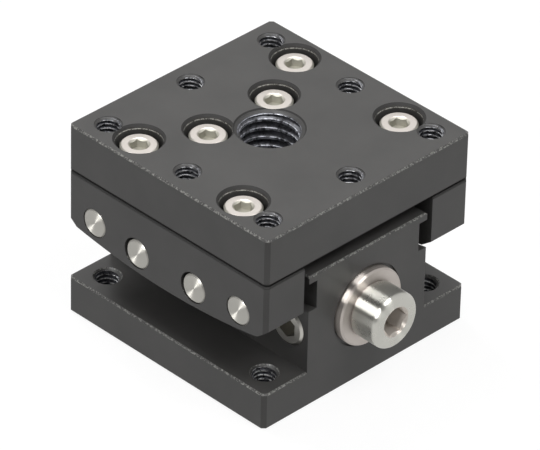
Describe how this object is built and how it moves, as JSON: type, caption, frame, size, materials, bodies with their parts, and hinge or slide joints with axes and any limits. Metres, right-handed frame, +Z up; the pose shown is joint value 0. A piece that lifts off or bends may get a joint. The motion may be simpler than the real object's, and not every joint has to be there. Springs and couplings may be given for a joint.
{
  "type": "goniometer stage",
  "caption": "Square goniometer stage: a hex-socket feed screw at the front tilts the table about a far axis above it, on rollers in arc grooves, with threaded mounting holes.",
  "frame": {"origin": "centre of the base's bottom face", "axes": "+Z up through the table, the drive screw's head points to -Y, the tilt axis lies along X, 120 mm above the origin"},
  "size_m": [0.04, 0.0458, 0.032],
  "materials": {
    "black_anodised": "satin black anodised",
    "screw_steel": "bright",
    "pin_steel": "turned end face",
    "drive_steel": "turned, bright",
    "spring_steel": "satin",
    "bush_steel": "turned, satin",
    "roller_steel": "ground",
    "bronze": "turned bronze",
    "brass": "turned"
  },
  "bodies": {
    "base": {"base_block": "black_anodised", "flanged_bush": "bush_steel", "thrust_washer": "bush_steel", "tail_bush": "bronze"},
    "table": {"table_plate": "black_anodised", "left_side_block": "black_anodised", "right_side_block": "black_anodised", "side_block_screws": "screw_steel", "bracket_screws": "screw_steel", "preload_screws": "screw_steel", "nut_bracket": "black_anodised", "left_outer_pins": "pin_steel", "left_inner_pins": "pin_steel", "right_outer_pins": "pin_steel", "right_inner_pins": "pin_steel"},
    "drive_screw": {"drive_screw": "drive_steel", "stop_collar": "drive_steel", "spring_washer": "spring_steel"},
    "drive_nut": {"drive_nut": "bronze"},
    "clamp_tip": {"clamp_tip": "brass"},
    "clamp_screw": {"clamp_screw": "drive_steel"},
    "left_roller_1": {"left_roller_1": "roller_steel"},
    "left_roller_2": {"left_roller_2": "roller_steel"},
    "left_roller_3": {"left_roller_3": "roller_steel"},
    "left_roller_4": {"left_roller_4": "roller_steel"},
    "right_roller_1": {"right_roller_1": "roller_steel"},
    "right_roller_2": {"right_roller_2": "roller_steel"},
    "right_roller_3": {"right_roller_3": "roller_steel"},
    "right_roller_4": {"right_roller_4": "roller_steel"}
  },
  "joints": [
    {"name": "table_tilt", "type": "hinge", "parent": "base", "child": "table", "pos_m": [0, 0, 0.12], "axis": [1, 0, 0], "range_deg": [-3, 3]},
    {"name": "drive_screw_spin", "type": "hinge", "parent": "base", "child": "drive_screw", "pos_m": [0, -0.02, 0.012], "axis": [0, -1, 0], "range_deg": [-4072, 4072]},
    {"name": "nut_slide", "type": "slide", "parent": "base", "child": "drive_nut", "axis": [0, 1, 0], "range_m": [-0.00566, 0.00566]},
    {"name": "clamp_feed", "type": "slide", "parent": "base", "child": "clamp_tip", "axis": [1, 0, 0], "range_m": [0, 0.00023]},
    {"name": "clamp_screw_spin", "type": "hinge", "parent": "clamp_tip", "child": "clamp_screw", "pos_m": [-0.0119, -0.0161, 0.012], "axis": [1, 0, 0], "range_deg": [0, 83]},
    {"name": "left_roller_1_spin", "type": "hinge", "parent": "table", "child": "left_roller_1", "pos_m": [-0.01135, -0.0145, 0.01772], "axis": [1, 0, 0], "range_deg": [-135, 135]},
    {"name": "left_roller_2_spin", "type": "hinge", "parent": "table", "child": "left_roller_2", "pos_m": [-0.01135, -0.0057, 0.01686], "axis": [1, 0, 0], "range_deg": [-141, 141]},
    {"name": "left_roller_3_spin", "type": "hinge", "parent": "table", "child": "left_roller_3", "pos_m": [-0.01135, 0.0057, 0.01686], "axis": [1, 0, 0], "range_deg": [-141, 141]},
    {"name": "left_roller_4_spin", "type": "hinge", "parent": "table", "child": "left_roller_4", "pos_m": [-0.01135, 0.0145, 0.01772], "axis": [1, 0, 0], "range_deg": [-135, 135]},
    {"name": "right_roller_1_spin", "type": "hinge", "parent": "table", "child": "right_roller_1", "pos_m": [0.01135, -0.0145, 0.01772], "axis": [1, 0, 0], "range_deg": [-135, 135]},
    {"name": "right_roller_2_spin", "type": "hinge", "parent": "table", "child": "right_roller_2", "pos_m": [0.01135, -0.0057, 0.01686], "axis": [1, 0, 0], "range_deg": [-141, 141]},
    {"name": "right_roller_3_spin", "type": "hinge", "parent": "table", "child": "right_roller_3", "pos_m": [0.01135, 0.0057, 0.01686], "axis": [1, 0, 0], "range_deg": [-141, 141]},
    {"name": "right_roller_4_spin", "type": "hinge", "parent": "table", "child": "right_roller_4", "pos_m": [0.01135, 0.0145, 0.01772], "axis": [1, 0, 0], "range_deg": [-135, 135]}
  ],
  "couplings": [
    {"joint": "drive_screw_spin", "follows": "table_tilt", "ratio": 1357.2},
    {"joint": "nut_slide", "follows": "table_tilt", "m_per_rad": 0.108},
    {"joint": "clamp_screw_spin", "follows": "clamp_feed", "rad_per_m": 6283.2},
    {"joint": "left_roller_1_spin", "follows": "table_tilt", "ratio": 44.889},
    {"joint": "left_roller_2_spin", "follows": "table_tilt", "ratio": -46.933},
    {"joint": "left_roller_3_spin", "follows": "table_tilt", "ratio": -46.933},
    {"joint": "left_roller_4_spin", "follows": "table_tilt", "ratio": 44.889},
    {"joint": "right_roller_1_spin", "follows": "table_tilt", "ratio": 44.889},
    {"joint": "right_roller_2_spin", "follows": "table_tilt", "ratio": -46.933},
    {"joint": "right_roller_3_spin", "follows": "table_tilt", "ratio": -46.933},
    {"joint": "right_roller_4_spin", "follows": "table_tilt", "ratio": 44.889}
  ]
}
